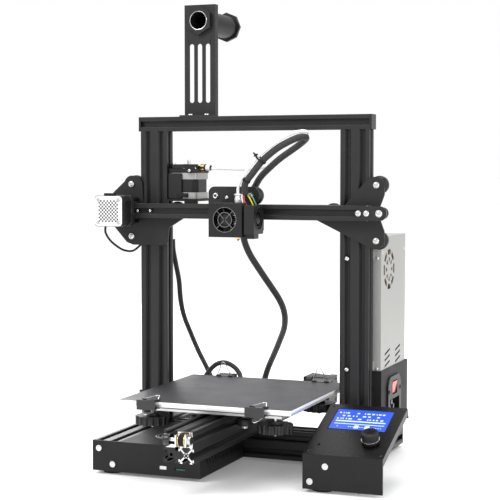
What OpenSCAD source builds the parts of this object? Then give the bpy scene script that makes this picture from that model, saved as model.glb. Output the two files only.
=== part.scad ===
// Open-frame desktop filament printer: aluminium-extrusion frame, lead-screw
// gantry, belt-driven carriage and belt-driven heated bed.
// +X is right, +Y is back, +Z is up. The machine is laid out with X = 0 midway
// between the uprights, Y = 0 on the uprights' front face and Z = 0 on the table;
// place() then moves the whole machine so the origin is under its middle.

/* [Frame] */
// Distance over the outer faces of the two uprights
frame_w = 332; // [330:1:334]
// Height of the uprights above the side rails
upright_h = 407; // [400:1:410]
// Length of the two side rails
rail_len = 320; // [316:1:324]
// Height of the rubber feet
foot_h = 4.5; // [4:0.5:5]

/* [Gantry] */
// Height of the middle of the gantry beam at rest
beam_z = 342; // [330:1:345]

/* [Bed] */
// Side of the square heated bed
bed_w = 235; // [230:1:235]
// Thickness of the build surface
glass_t = 3.5; // [3:0.5:4]

/* [Wheels] */
// Outer radius of a V wheel
wheel_r = 12.2; // [12:0.1:12.2]
// Distance from a rail face to a wheel's axle
wheel_off = 11.7; // [11.7:0.1:12]

/* [Hidden] */
$fn = 48;

// Step from the machine's layout origin to its bottom middle
shift = [-7, 31, 0];

// Frame levels and edges
cell = 20;
half_w = frame_w / 2;
rail_z0 = foot_h;
rail_z1 = rail_z0 + 2 * cell;
y_rail_z1 = rail_z1 + 2 * cell;
y_rail_front = -240;
y_rail_back = 164;
rail_front = -146;
rail_back = rail_front + rail_len;
inner_w = half_w - 2 * cell;
upright_x = half_w - cell;
beam_bottom = rail_z1 + upright_h;
beam_top = beam_bottom + cell;
wall = 1.5;

// Motors: square face, corner chamfer, shaft and boss
motor_w = 42.3;
motor_chamfer = 3.5;
shaft_r = 2.5;
boss_r = 11;
bore_gap = 0.06;

// Lead screw
screw_x = -152;
screw_y = 45;
screw_r = 4;

// Bed drive: belt plane and pulley centres
y_belt_x = 10;
y_belt_z = 75;
y_pulley_back = 173.5;
y_pulley_front = -249;
y_motor_x0 = 25;

// Carriage drive: belt plane and pulley centres
x_belt_y = -15;
x_motor_cx = -185;
x_idler_cx = 188;
x_motor_y1 = -26;
pulley_r = 5.9;
belt_in = 6.25;
belt_out = 7.45;
belt_half = 3;

// Gantry beam
beam_front = -25;
beam_back = -5;
plate_t = 3;
gantry_plate_y0 = beam_back;
z_wheel_y = 10;

// Carriage
carriage_y0 = -31;
carriage_y1 = -28;
hot_x = 0;
hot_y = -48;
head_fan = [-9.4, -70, 333];
head_fan_r = 16.3;

// Extruder
ext_x = -104.15;
ext_y = 26.15;
ext_z0 = 358;
ext_z1 = 394;

// Bed levels
bed_front = -166.4;
bed_back = bed_front + bed_w;
bed_z0 = 97;
bed_z1 = 100;
plate_z0 = 88.5;
plate_z1 = 91.5;
level_x = 85;
level_y = [-134, 36];
level_r = 2;
clip_w = 26;
y_wheel_y = [-104, 6];

// Display panel: lower front edge, slope and length
panel_y0 = -148;
panel_z0 = 48;
panel_w = 103;
panel_rise = 44.4;
panel_run = 115;
panel_a = atan(panel_rise / panel_run);
panel_len = norm([panel_rise, panel_run]);
lcd_lo = [13.5, 63];
lcd_hi = [88.5, 112];
knob_at = [78, 36];

// Power supply
psu_lo = [145, 24, 119];
psu_hi = [176, 145, 309];
psu_grille = [63, 264];

// Spool holder
spool_x = -82;
spool_y = 14;
spool_z = 603;
spool_r = 16;

// Routes of the free cords
bowden_d = 4;
bowden_route = [[-68, 20.6, 400], [-50, 20.6, 400], [-25, 18, 399], [5, 8, 400], [30, -2, 404.5],
    [47, -5, 415], [62, -5, 425], [79, -8, 439], [88, -21, 447.5], [81, -31, 449],
    [66, -41.5, 443], [50, -49, 432], [31, -52, 416.5], [15, -51.5, 399], [4, -50, 384],
    [0, -48, 374], [0, -48, 366]];
harness_d = 9;
harness_route = [[9, -46, 366], [10, -48, 380], [21, -49, 394], [36, -50, 411], [54, -47, 426],
    [70, -40, 436], [82, -31, 441.5], [86, -22, 440], [76, -15, 433], [62, -13, 424],
    [47, -13, 414], [33, -12, 403], [16, -6, 389], [3, 5, 375], [-9, 12, 358], [-16, 13, 342],
    [-19, 14, 328], [-18, 16, 306], [-12, 22, 284], [-1, 34, 260], [9, 48, 238], [15, 68, 217],
    [14, 92, 196], [4, 120, 172], [-16, 152, 145], [-35, 178, 120], [-48, 190, 99],
    [-56, 192, 76], [-59, 180, 54], [-58, 152, 38], [-56, 120, 34], [-54, 92, 38], [-50, 62, 47],
    [-47, 40, 51], [-46, 18, 51], [-46, 0, 50], [-46, -10, 46], [-46, -13, 38]];
bundle_d = 7;
motor_route = [[-134, 36, 300], [-134, 38, 284], [-131, 41, 262], [-128, 44, 240], [-127, 47, 214],
    [-125, 54, 190], [-124, 76, 162], [-124, 104, 132], [-124, 132, 106], [-123, 150, 84],
    [-122, 150, 60], [-118, 134, 42], [-110, 108, 34], [-98, 78, 38], [-86, 54, 47],
    [-79, 34, 51], [-76, 14, 50], [-76, -2, 49], [-76, -10, 45], [-76, -13, 38]];
bed_cable_route = [[-46, 52, 92.9], [-46, 66, 92.6], [-47, 78, 96], [-52, 85, 106],
    [-62, 88, 115], [-76, 89, 120], [-89, 88, 117], [-100, 85, 106], [-108, 79, 90],
    [-110, 68, 70], [-106, 54, 56], [-99, 38, 50], [-92, 20, 49], [-89, 0, 48.5], [-88, -10, 45],
    [-88, -13, 38]];
motor_lead_d = 3;
motor_lead_route = [[-196, -50, 320], [-197, -48, 312], [-195, -40, 302], [-191, -28, 293],
    [-187, -12, 286], [-183, 6, 284], [-179, 20, 290], [-172, 29, 301], [-160, 31, 307],
    [-148, 32, 305], [-139.5, 35.5, 299]];

// ---------- shapes used by many parts ----------

// Moves the laid-out machine to the part's own origin
module place() translate(shift) children();

// A box from its lowest to its highest corner
module block(lo, hi) translate(lo) cube(hi - lo);

// A round bar of length l that starts at p and runs along +X, +Y or +Z
module rod(p, axis, r, l) translate(p)
    rotate(axis == "x" ? [0, 90, 0] : axis == "y" ? [-90, 0, 0] : [0, 0, 0]) cylinder(r = r, h = l);

// A flat outline in X and Z, from y0 to y0 + t
module upright_sheet(y0, t) translate([0, y0 + t, 0]) rotate([90, 0, 0]) linear_extrude(t) children();

// The section of one T-slot, cut down from the face at y = 0
module slot_section() polygon([[-4.6, 1], [4.6, 1], [4.6, 0], [3.1, -1.5], [3.1, -1.8],
    [5.5, -1.8], [5.5, -3.8], [2.8, -6.2], [-2.8, -6.2], [-5.5, -3.8], [-5.5, -1.8],
    [-3.1, -1.8], [-3.1, -1.5], [-4.6, 0]]);

// The section of an extrusion of nx by ny cells
module profile(nx, ny) {
    difference() {
        square([nx * cell, ny * cell], center = true);
        for (i = [0:nx - 1]) {
            translate([(i - (nx - 1) / 2) * cell, ny * cell / 2]) slot_section();
            translate([(i - (nx - 1) / 2) * cell, -ny * cell / 2]) rotate(180) slot_section();
        }
        for (j = [0:ny - 1]) {
            translate([nx * cell / 2, (j - (ny - 1) / 2) * cell]) rotate(-90) slot_section();
            translate([-nx * cell / 2, (j - (ny - 1) / 2) * cell]) rotate(90) slot_section();
        }
        for (i = [0:nx - 1], j = [0:ny - 1])
            translate([(i - (nx - 1) / 2) * cell, (j - (ny - 1) / 2) * cell]) circle(r = 2.1);
        if (nx == 2 && ny == 2) square(9, center = true);
        if (nx == 2 && ny == 1) square([5, 12], center = true);
    }
}

// An extrusion of section nx by ny that runs from p along an axis
module extrusion(p, axis, nx, ny, l) translate(p)
    rotate(axis == "x" ? [90, 0, 90] : axis == "y" ? [-90, 0, 0] : [0, 0, 0])
        linear_extrude(l) profile(nx, ny);

// A square motor body with its boss and shaft along +Z; the front face is at z = 0
module stepper(body_l, shaft_l) {
    h = motor_w / 2;
    c = h - motor_chamfer;
    translate([0, 0, -body_l]) linear_extrude(body_l)
        polygon([[-h, -c], [-c, -h], [c, -h], [h, -c], [h, c], [c, h], [-c, h], [-h, c]]);
    cylinder(r = boss_r, h = 2);
    cylinder(r = shaft_r, h = shaft_l);
}

// A V wheel about +Z, centred on the origin
module v_wheel() rotate_extrude() polygon([[2.55, -5.1], [9.6, -5.1], [wheel_r, -2.7],
    [wheel_r, 2.7], [9.6, 5.1], [2.55, 5.1]]);

// A flanged belt pulley about +Z, centred on the origin
module pulley() rotate_extrude() polygon([[shaft_r + bore_gap, -4.6], [8, -4.6], [8, -3.6],
    [pulley_r, -3.6], [pulley_r, 3.6], [8, 3.6], [8, 4.6], [shaft_r + bore_gap, 4.6]]);

// A closed belt loop in the X-Y plane between pulley centres 0 and l, centred on z = 0
module belt_loop(l) translate([0, 0, -belt_half]) linear_extrude(2 * belt_half) {
    for (s = [-1, 1]) translate([0, s == 1 ? belt_in : -belt_out]) square([l, belt_out - belt_in]);
    for (e = [0, 1]) translate([e * l, 0]) difference() {
        circle(r = belt_out);
        circle(r = belt_in);
        translate([e == 0 ? 0 : -belt_out - 1, -belt_out - 1])
            square([belt_out + 1, 2 * belt_out + 2]);
    }
}

// A button-head screw whose head sits on y = p[1] and faces -Y
module front_screw(p, shank) {
    rod([p[0], p[1] - 2.2, p[2]], "y", 4, 2.2);
    rod(p, "y", 1.95, shank);
}

// Unit vector
function unit(v) = v / norm(v);

// Direction of the route at point i
function heading(p, i) = unit(p[min(i + 1, len(p) - 1)] - p[max(i - 1, 0)]);

// A side vector carried along the route without twisting
function carried(p, i, u) = let (d = heading(p, i)) unit(u - d * (u * d));
function sides(p, i = 0, u = [0.3, 0.4, 0.87]) = i >= len(p) ? []
    : let (v = carried(p, i, u)) concat([v], sides(p, i + 1, v));

// A closed tube swept along a route
module swept_tube(p, d, n) {
    m = len(p);
    u = sides(p);
    rings = [for (i = [0:m - 1], k = [0:n - 1]) let (w = cross(heading(p, i), u[i]))
        p[i] + d / 2 * (cos(360 * k / n) * u[i] + sin(360 * k / n) * w)];
    walls = [for (i = [0:m - 2], k = [0:n - 1])
        [i * n + k, (i + 1) * n + k, (i + 1) * n + (k + 1) % n, i * n + (k + 1) % n]];
    polyhedron(points = rings, faces = concat([[for (k = [0:n - 1]) k]], walls,
        [[for (k = [n - 1:-1:0]) (m - 1) * n + k]]));
}

// ---------- frame ----------

// Two side rails and the cross beam between them
module base_rails() color("#2b2b2d") {
    for (s = [-1, 1])
        extrusion([s * upright_x, rail_front, rail_z0 + cell], "y", 2, 2, rail_len);
    extrusion([-inner_w, cell, rail_z0 + cell], "x", 2, 2, 2 * inner_w);
}

// The rail that the bed rides on, with a passage for the belt's lower run
module y_rail() color("#29292b") difference() {
    extrusion([0, y_rail_front, rail_z1 + cell], "y", 2, 2, y_rail_back - y_rail_front);
    block([y_belt_x - 3.8, y_rail_front - 1, 66.6], [y_belt_x + 3.8, y_rail_back + 1, 70.2]);
}

// The two uprights
module uprights() color("#2d2d2f")
    for (s = [-1, 1]) extrusion([s * upright_x, cell / 2, rail_z1], "z", 2, 1, upright_h);

// The beam that joins the uprights' tops
module top_beam() color("#303032")
    extrusion([-half_w, cell / 2, beam_bottom + cell / 2], "x", 1, 1, frame_w);

// Four rubber feet, and plastic caps on the open ends of the extrusions
module feet_and_caps() color("#131313") for (s = [-1, 1]) {
    for (y = [-126, 156]) translate([s * upright_x, y, 0]) difference() {
        cylinder(r = 14, h = foot_h);
        translate([0, 0, -1]) cylinder(r = 3, h = 3.5);
    }
    x0 = s == 1 ? half_w : -half_w - 3;
    block([x0, 0, beam_bottom], [x0 + 3, cell, beam_top]);
    block([s * upright_x - cell, rail_back, rail_z0], [s * upright_x + cell, rail_back + 3, rail_z1]);
}

// Sheet-metal box for the control board, with its front plate
module electronics_box() color("#343434") {
    x0 = -inner_w;
    x1 = -12;
    y1 = 0;
    difference() {
        union() {
            block([x0, rail_front, rail_z0], [x1, y1, rail_z1]);
            block([-half_w, rail_front - 2, rail_z0], [x1, rail_front, rail_z1]);
        }
        block([x0 + wall, rail_front - 0.5, rail_z0 + wall], [x1 - wall, y1 - wall, rail_z1 - wall]);
        // USB and card slots
        block([-70, rail_front - 3, 12], [-59, rail_front + 1, 18]);
        block([-48, rail_front - 3, 13], [-33, rail_front + 1, 16.5]);
        // screw holes into the left rail's end
        rod([-156, rail_front - 3, 34.5], "y", 2.1, 6);
        rod([-136, rail_front - 3, 14.5], "y", 2.1, 6);
        // slanted vents in the right wall
        for (i = [0:12]) translate([x1 - wall / 2, -126 + 9 * i, 26]) rotate([30, 0, 0])
            cube([2 * wall, 2.4, 18], center = true);
        // ring-shaped fan grille in the lid
        for (r = [8, 14]) translate([-78, -92, rail_z1 - 2]) difference() {
            cylinder(r = r + 4, h = 4);
            cylinder(r = r, h = 4);
            for (a = [0, 90]) rotate(a) cube([60, 3, 12], center = true);
        }
        // slot for the harnesses at the back of the lid
        block([-98, -19, rail_z1 - 2], [-24, -4, rail_z1 + 1]);
    }
}

// Control board with its connectors, heat sinks and the cooling fan in the lid
module mainboard() color("#1f6b46") {
    block([-118, -140, 10], [-22, -40, 11.6]);
    for (x = [-114, -26], y = [-136, -44]) rod([x, y, rail_z0 + wall], "z", 2.5, 10 - rail_z0 - wall);
    block([-69, -145.8, 11.6], [-60, -130, 17.6]);
    block([-47.6, -145.8, 11.6], [-33.4, -130, 15]);
    for (i = [0:3]) block([-110 + 16 * i, -110, 11.6], [-101 + 16 * i, -101, 17]);
    block([-112, -54, 11.6], [-30, -46, 22]);
    block([-70, -90, 11.6], [-56, -76, 14]);
    // fan frame
    difference() {
        block([-98, -112, 32], [-58, -72, 42.8]);
        rod([-78, -92, 31], "z", 18.5, 13);
    }
    rod([-78, -92, 32], "z", 8, 10);
    for (a = [20, 110]) translate([-78, -92, 33]) rotate(a) cube([39, 2, 2], center = true);
}

// Bed motor and lead-screw motor
module frame_motors() color("#1c1c1c") {
    translate([y_motor_x0, y_pulley_back, y_belt_z]) rotate([0, -90, 0]) stepper(36, 23);
    translate([screw_x, screw_y, 84]) stepper(36, 20);
}

// Plates that hold the two frame motors and the bed belt's idler
module motor_brackets() color("#202022") {
    difference() {
        union() {
            block([screw_x - 21, cell, 84], [screw_x + 21, 66, 87]);
            block([-half_w, cell, 48], [-131, cell + 3, 84]);
        }
        rod([screw_x, screw_y, 80], "z", boss_r + 0.3, 10);
    }
    difference() {
        block([y_motor_x0 - 3, y_rail_back - 12, 54], [y_motor_x0, 194.5, 96]);
        rod([y_motor_x0 - 4, y_pulley_back, y_belt_z], "x", boss_r + 0.3, 6);
    }
    block([cell, y_rail_back - 12, 60], [y_motor_x0 - 3, y_rail_back - 2, 82]);
    // idler fork on the bed rail's front end
    difference() {
        block([0.4, -243, 65], [19.8, y_rail_front, 84]);
        block([5.1, -244, 65.8], [14.9, y_rail_front + 1, 83.2]);
    }
    for (x = [2.4, 15.4]) difference() {
        block([x, -257, 68], [x + 2.2, -243, 82]);
        rod([x - 1, y_pulley_front, y_belt_z], "x", shaft_r + 0.02, 5);
    }
    rod([-16, y_pulley_front, y_belt_z], "x", shaft_r, 38);
    rod([-14, y_pulley_front, y_belt_z], "x", 7, 8);
    rod([17.6, y_pulley_front, y_belt_z], "x", 5, 3);
    block([-12, -252, 66], [0.4, -240, 70]);
}

// Micro switches at the ends of the height and bed travels
module limit_switches() color("#1a1a1a") {
    block([cell, 118, 49], [cell + 8, 140, 60]);
    block([cell + 2, 115, 58], [cell + 6, 118, 59]);
    block([-half_w - 8, 3, 60], [-half_w, 16, 82]);
    block([-half_w - 6, 4, 82], [-half_w - 2, 5, 88]);
}

// Aluminium case of the power supply, with fan grille and vents
module psu_case() color("#c9c9c6") {
    difference() {
        block(psu_lo, psu_hi);
        block(psu_lo + [wall, wall, wall], psu_hi - [wall, wall, wall]);
        translate([psu_hi[0] - 3, psu_grille[0], psu_grille[1]]) rotate([0, 90, 0])
            for (r = [9, 20]) difference() {
                cylinder(r = r + 7, h = 6);
                translate([0, 0, -1]) cylinder(r = r, h = 8);
                for (a = [22.5, 67.5, 112.5, 157.5]) rotate(a) cube([80, 5, 20], center = true);
            }
        for (y = [56, 108], i = [0:2]) translate([psu_hi[0], y, 136 + 8 * i])
            rotate([12, 0, 0]) cube([6, 26, 3], center = true);
    }
    for (z = [133, 281]) block([psu_lo[0], cell, z - 2], [half_w, psu_lo[1], z + 10]);
}

// Board, transformer, capacitors, terminals and fan inside the power supply
module psu_core() color("#7a5a2a") {
    block([149, 30, 122], [151, 138, 304]);
    block([151, 48, 170], [171, 92, 214]);
    for (y = [110, 128], z = [150, 176]) rod([151, y, z], "x", 8, 20);
    block([151, 36, 124], [165, 132, 136]);
    difference() {
        block([160, 37, 238], [172, 89, 290]);
        rod([159, psu_grille[0], psu_grille[1]], "x", 24, 14);
    }
    rod([160, psu_grille[0], psu_grille[1]], "x", 10, 11);
    for (i = [0:6]) translate([166, psu_grille[0], psu_grille[1]]) rotate([i * 360 / 7, 0, 0])
        block([-4, -1, 9], [3, 1, 22]);
    for (a = [45, 135]) translate([161, psu_grille[0], psu_grille[1]]) rotate([a, 0, 0])
        cube([2, 50, 2], center = true);
    block([151, 66, 204], [160, 70, 240]);
}

// Black sheet cover under the power supply
module psu_cover() color("#2a2a2a") difference() {
    union() {
        block([143.5, 22.5, 46], [177.5, 155, 130]);
        for (z = [60, 110]) block([143.5, cell, z], [half_w, 22.5, z + 10]);
    }
    block(psu_lo, psu_hi);
    block([145, psu_lo[1], 47.5], [176, 153.5, 131]);
    block([170, 52, 64], [180, 110, 114]);
}

// Mains socket and switch frame, with bevelled top corners
module power_inlet() color("#101010") difference() {
    union() {
        translate([177.5, 0, 0]) rotate([90, 0, 90]) linear_extrude(2.5)
            polygon([[49, 61], [113, 61], [113, 106], [102, 117], [60, 117], [49, 106]]);
        block([158, 53, 65], [177.5, 109, 113]);
    }
    block([164, 58, 68], [181, 104, 86]);
    block([164, 69.5, 91.5], [181, 92.5, 110.5]);
    for (y = [53.5, 108.5]) rod([170, y, 97], "x", 1.6, 12);
    rod([176, 66.5, 101], "y", 2.1, 29);
}

// Two-position rocker of the mains switch
module power_rocker() color("#c8201c") {
    translate([176, 81, 101]) rotate([0, 8, 0]) block([-6, -10.8, -8.3], [3.2, 10.8, 8.3]);
    rod([176, 67.5, 101], "y", 2, 27);
}

// Puts children on the sloping display panel: x across, y up the slope, z outwards
module on_panel() translate([inner_w, panel_y0, panel_z0]) rotate([panel_a, 0, 0]) children();

// Bent sheet of the display unit: front plate, sloping panel and short side flanges
module display_housing() color("#1d1d1d") {
    difference() {
        block([inner_w, panel_y0, rail_z0], [inner_w + panel_w, rail_front, panel_z0 + 0.6]);
        rod([156, panel_y0 - 1, 34.5], "y", 2.1, 4);
        rod([136, panel_y0 - 1, 14.5], "y", 2.1, 4);
    }
    on_panel() difference() {
        union() {
            block([0, 0, -1.5], [panel_w, panel_len, 0]);
            block([0, 8, -7], [1.5, panel_len, 0]);
            block([panel_w - 1.5, 0, -9], [panel_w, panel_len, 0]);
            block([0, panel_len - 1.5, -14], [panel_w, panel_len, 0]);
        }
        block([lcd_lo[0], lcd_lo[1], -3], [lcd_hi[0], lcd_hi[1], 1]);
        translate([knob_at[0], knob_at[1], -3]) cylinder(r = 4.5, h = 5);
        translate([14, 24, -3]) cylinder(r = 2, h = 5);
    }
}

// Display board, glass and knob encoder behind the panel
module display_module() color("#3050d8") on_panel() {
    block([5, 20, -10], [98, 118, -8.4]);
    block([lcd_lo[0] - 3, lcd_lo[1] - 3, -8.4], [lcd_hi[0] + 3, lcd_hi[1] + 3, -1.6]);
    block([lcd_lo[0] + 0.2, lcd_lo[1] + 0.2, -1.7], [lcd_hi[0] - 0.2, lcd_hi[1] - 0.2, -0.4]);
    difference() {
        block([knob_at[0] - 6, knob_at[1] - 6, -8.4], [knob_at[0] + 6, knob_at[1] + 6, -1.8]);
        translate([knob_at[0], knob_at[1], -5]) cylinder(r = 3.1, h = 6);
    }
    block([46, 22, -16], [66, 32, -10]);
    block([74, 22, -16], [94, 32, -10]);
}

// Push shaft of the knob encoder
module encoder_shaft() color("#b8b8b8") on_panel()
    translate([knob_at[0], knob_at[1], -4.2]) cylinder(r = 3, h = 14);

// Ribbed control knob with its ring
module control_knob() color("#161616") on_panel()
    translate([knob_at[0], knob_at[1], 1.2]) difference() {
        union() {
            cylinder(r = 11.5, h = 4);
            translate([0, 0, 4]) cylinder(r = 10.6, h = 10);
        }
        translate([0, 0, -1]) cylinder(r = 3.06, h = 10);
    }

// Slotted bracket that carries the spool tube
module spool_bracket() color("#2a2a2a") {
    difference() {
        union() {
            block([spool_x - 23, spool_y, beam_top], [spool_x + 23, spool_y + 2, 625]);
            for (s = [-1, 1]) translate([spool_x + s * 22.25, 0, 0])
                block([-0.75, spool_y, beam_top], [0.75, spool_y + 11, 625]);
            block([spool_x - 23, spool_y, 623.5], [spool_x + 23, spool_y + 6, 625]);
            block([spool_x - 25, 0, beam_top], [spool_x + 25, cell, beam_top + 2]);
        }
        rod([spool_x, spool_y - 3, spool_z], "y", 14.6, 8);
        for (x = [-12, 0, 12]) {
            block([spool_x + x - 3.4, spool_y - 1, 494], [spool_x + x + 3.4, spool_y + 3, 568]);
            for (z = [494, 568]) rod([spool_x + x, spool_y - 1, z], "y", 3.4, 4);
        }
        for (x = [-12, 12]) rod([spool_x + x, cell / 2, beam_top - 1], "z", 2.6, 4);
    }
}

// Hollow spool tube with its fixing nut and end flange
module spool_tube() color("#222222") difference() {
    translate([spool_x, spool_y, spool_z]) rotate([-90, 0, 0]) {
        translate([0, 0, -5.5]) cylinder(r = 14.5, h = 8);
        translate([0, 0, -5.5]) rotate(30) cylinder(r = 20, h = 5.5, $fn = 6);
        translate([0, 0, 2]) cylinder(r = spool_r, h = 93);
        translate([0, 0, 95]) cylinder(r = 21, h = 5, $fn = 8);
    }
    rod([spool_x, spool_y - 7, spool_z], "y", 12, 104);
}

// Screws of the frame
module frame_screws() color("#d8d8d8") {
    for (s = [-1, 1]) {
        front_screw([s * 156, rail_front - 2, 34.5], 14);
        front_screw([s * 136, rail_front - 2, 14.5], 14);
    }
    for (z = [133, 281]) rod([136, -0.6, z], "y", 2.9, 2.2);
    for (z = [133, 281]) rod([170.5, psu_lo[1] - 1.2, z], "y", 2.2, 1.2);
    for (x = [-12, 12]) {
        rod([spool_x + x, cell / 2, beam_top - 4], "z", 2.5, 6.2);
        rod([spool_x + x, cell / 2, beam_top + 2], "z", 3.6, 1.8);
    }
}

// ---------- bed and height drives ----------

// Toothed belt of the bed, in the rail's left top slot
module y_belt() color("#0f0f0f") translate([y_belt_x, y_pulley_front, y_belt_z])
    rotate([90, 0, 90]) belt_loop(y_pulley_back - y_pulley_front);

// Drive pulley on the bed motor
module y_motor_pulley() color("#d0b060")
    translate([y_belt_x, y_pulley_back, y_belt_z]) rotate([0, 90, 0]) pulley();

// Idler pulley at the front of the bed rail
module y_idler_pulley() color("#d0b060")
    translate([y_belt_x, y_pulley_front, y_belt_z]) rotate([0, 90, 0]) pulley();

// Lead screw with its coupler
module lead_screw() color("#b9b9b4") translate([screw_x, screw_y, 0]) difference() {
    union() {
        translate([0, 0, 92]) cylinder(r = 9.5, h = 25);
        translate([0, 0, 105]) cylinder(r = screw_r, h = 335);
    }
    translate([0, 0, 91]) cylinder(r = shaft_r + bore_gap, h = 14);
}

// ---------- gantry ----------

// Beam that the carriage rides on
module x_beam() color("#313133")
    extrusion([-168, (beam_front + beam_back) / 2, beam_z], "x", 1, 1, 338);

// Holes for the wheel axles of one gantry plate; s is the side
module z_axle_holes(s) {
    for (z = [378.5, 305.5]) translate([s * 177.7, z]) circle(r = 2.55);
    translate([s * 114.3, beam_z]) circle(r = 2.55);
}

// Outline of the left gantry plate
module left_plate_outline() difference() {
    union() {
        polygon([[-180, 390], [-168, 390], [-162, 381], [-160, 352], [-98, 352], [-98, 332],
            [-121, 318], [-123, 297], [-128, 293.5], [-176, 293.5], [-186, 297], [-212, 326],
            [-215, 340], [-214, 360]]);
        translate([-177.7, 378.5]) circle(r = 11.7);
    }
    z_axle_holes(-1);
    translate([x_motor_cx, beam_z]) circle(r = 6);
}

// Outline of the right gantry plate: an upper and a lower lobe
module right_plate_outline() difference() {
    union() {
        polygon([[94, 332], [94, 352], [134, 352], [165, 386], [187, 384], [188, 366],
            [182, 350], [182, 334], [188, 318], [188, 300], [167, 297]]);
        translate([176, 377]) circle(r = 12.5);
        translate([176, 307]) circle(r = 12.5);
    }
    z_axle_holes(1);
}

// The two plates that ride the uprights
module gantry_plates() color("#2a2a2a") upright_sheet(gantry_plate_y0, plate_t) {
    left_plate_outline();
    right_plate_outline();
}

// Motor that drives the carriage belt, on four spacers
module x_motor() color("#1b1b1b") translate([x_motor_cx, x_motor_y1, beam_z]) {
    rotate([-90, 0, 0]) stepper(36, 20);
    for (a = [45, 135, 225, 315]) rotate([0, a, 0]) rod([21.9, 0, 0], "y", 3, beam_back - x_motor_y1);
}

// Motor of the filament drive, standing behind the beam
module extruder_motor() color("#1b1b1b") translate([ext_x, ext_y, ext_z1]) stepper(36, 13);

// Shelf behind the beam, feeder block with its outlet fitting, and the lead-screw nut's arm
module extruder_body() color("#1e1e1e") {
    difference() {
        union() {
            block([-125.3, -2, 355], [-78, 62, ext_z0]);
            block([-172, 24, 355], [-125.3, 62, ext_z0]);
            block([-97.5, beam_back, 334], [-78, -2, ext_z0]);
        }
        rod([screw_x, screw_y, 350], "z", 5.4, 12);
    }
    difference() {
        union() {
            block([-125.3, 5, ext_z1], [-83, 47.3, 400]);
            block([-97, -4, ext_z1], [-83, 5, 400]);
            block([-97, -4, 400], [-83, -1, 406]);
            block([-125.3, 16, 400], [-114, 27, 404]);
            block([-92, 16, 400], [-83, 26, 404]);
        }
        rod([ext_x, ext_y, 390], "z", boss_r + 0.3, 20);
        rod([-126, 20.6, 401.5], "x", 1.2, 50);
    }
    rod([-120, 11, 400], "z", 2, 7.6);
    difference() {
        union() {
            rod([-83, 20.6, 401], "x", 5, 7);
            rod([-76, 20.6, 401], "x", 3.6, 8);
        }
        rod([-84, 20.6, 401], "x", 2.05, 17);
    }
}

// Idler lever that presses the filament onto the gear
module extruder_lever() color("#181818") difference() {
    union() {
        block([-120, 8, 400.4], [-84, 13, 406]);
        rod([-120, 11, 400.4], "z", 4, 5.6);
        rod([ext_x, 13.2, 400.4], "z", 5, 4.6);
    }
    rod([-120, 11, 399], "z", 2.06, 9);
}

// Spring between the feeder post and the lever
module extruder_spring() color("#c8c8c8") difference() {
    rod([-90, -1, 403.2], "y", 2.7, 9);
    rod([-90, -2, 403.2], "y", 1.6, 11);
}

// Toothed gear on the filament motor's shaft
module extruder_gear() color("#c9a550") difference() {
    rod([ext_x, ext_y, 396.6], "z", 5.6, 9);
    rod([ext_x, ext_y, 395], "z", shaft_r + bore_gap, 12);
}

// Toothed belt of the carriage, in the beam's top and bottom slots
module x_belt() color("#0f0f0f") translate([x_motor_cx, x_belt_y, beam_z])
    rotate([90, 0, 0]) belt_loop(x_idler_cx - x_motor_cx);

// Wheel axles, idler bracket, small screws and the brass nut
module gantry_screws() color("#cfcfcf") {
    for (s = [-1, 1]) {
        for (z = [378.5, 305.5]) {
            rod([s * 177.7, -7.6, z], "y", 4.2, 2.6);
            rod([s * 177.7, beam_back, z], "y", 2.45, 24);
            rod([s * 177.7, 15.6, z], "y", 4.2, 3.4);
        }
        rod([s * 114.3, beam_back, beam_z], "y", 2.45, 24);
        rod([s * 114.3, 15.6, beam_z], "y", 4.2, 3.4);
    }
    difference() {
        union() {
            block([157, beam_front - 3, 332.5], [188, beam_front, 351.5]);
            rod([x_idler_cx, beam_front - 3, beam_z], "y", 9.5, 3);
        }
        rod([x_idler_cx, beam_front - 4, beam_z], "y", shaft_r, 6);
    }
    rod([x_idler_cx, beam_front - 3, beam_z], "y", shaft_r, 20);
    rod([x_idler_cx, beam_front - 5.4, beam_z], "y", 4.6, 2.4);
    for (x = [160, 171]) rod([x, beam_front - 5.2, beam_z], "y", 3.8, 2.2);
    difference() {
        union() {
            rod([screw_x, screw_y, 351.5], "z", 11, 3.5);
            rod([screw_x, screw_y, 345], "z", 5.2, 20);
        }
        rod([screw_x, screw_y, 340], "z", screw_r + 0.08, 30);
    }
}

// Drive pulley on the carriage motor
module x_motor_pulley() color("#c8c8c8")
    translate([x_motor_cx, x_belt_y, beam_z]) rotate([-90, 0, 0]) pulley();

// Idler pulley at the right end of the beam
module x_idler_pulley() color("#c8c8c8")
    translate([x_idler_cx, x_belt_y, beam_z]) rotate([-90, 0, 0]) pulley();

// V wheels that run on the uprights
module z_wheels() color("#262626") for (s = [-1, 1]) {
    for (z = [378.5, 305.5]) translate([s * 177.7, z_wheel_y, z]) rotate([-90, 0, 0]) v_wheel();
    translate([s * 114.3, z_wheel_y, beam_z]) rotate([-90, 0, 0]) v_wheel();
}

// ---------- carriage ----------

x_wheels_at = [[-39, beam_z + cell / 2 + wheel_off], [11, beam_z + cell / 2 + wheel_off],
    [-14, beam_z - cell / 2 - wheel_off]];

// Carriage plate with its wheel axles and belt clamps
module carriage_plate() color("#2a2a2a") {
    upright_sheet(carriage_y0, plate_t) union() {
        polygon([[-50, 308], [18, 308], [18, 376], [-41, 376], [-50, 367]]);
        translate([-41, 367]) circle(r = 9);
        translate([11, 363.7]) circle(r = 12.3);
    }
    for (w = x_wheels_at) {
        rod([w[0], carriage_y1, w[1]], "y", 2.45, 20);
        rod([w[0], carriage_y0 - 2.4, w[1]], "y", 4.2, 2.4);
    }
    for (x = [-25, -11]) block([x, carriage_y1, 353.5], [x + 8, -17.4, 355]);
}

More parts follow.
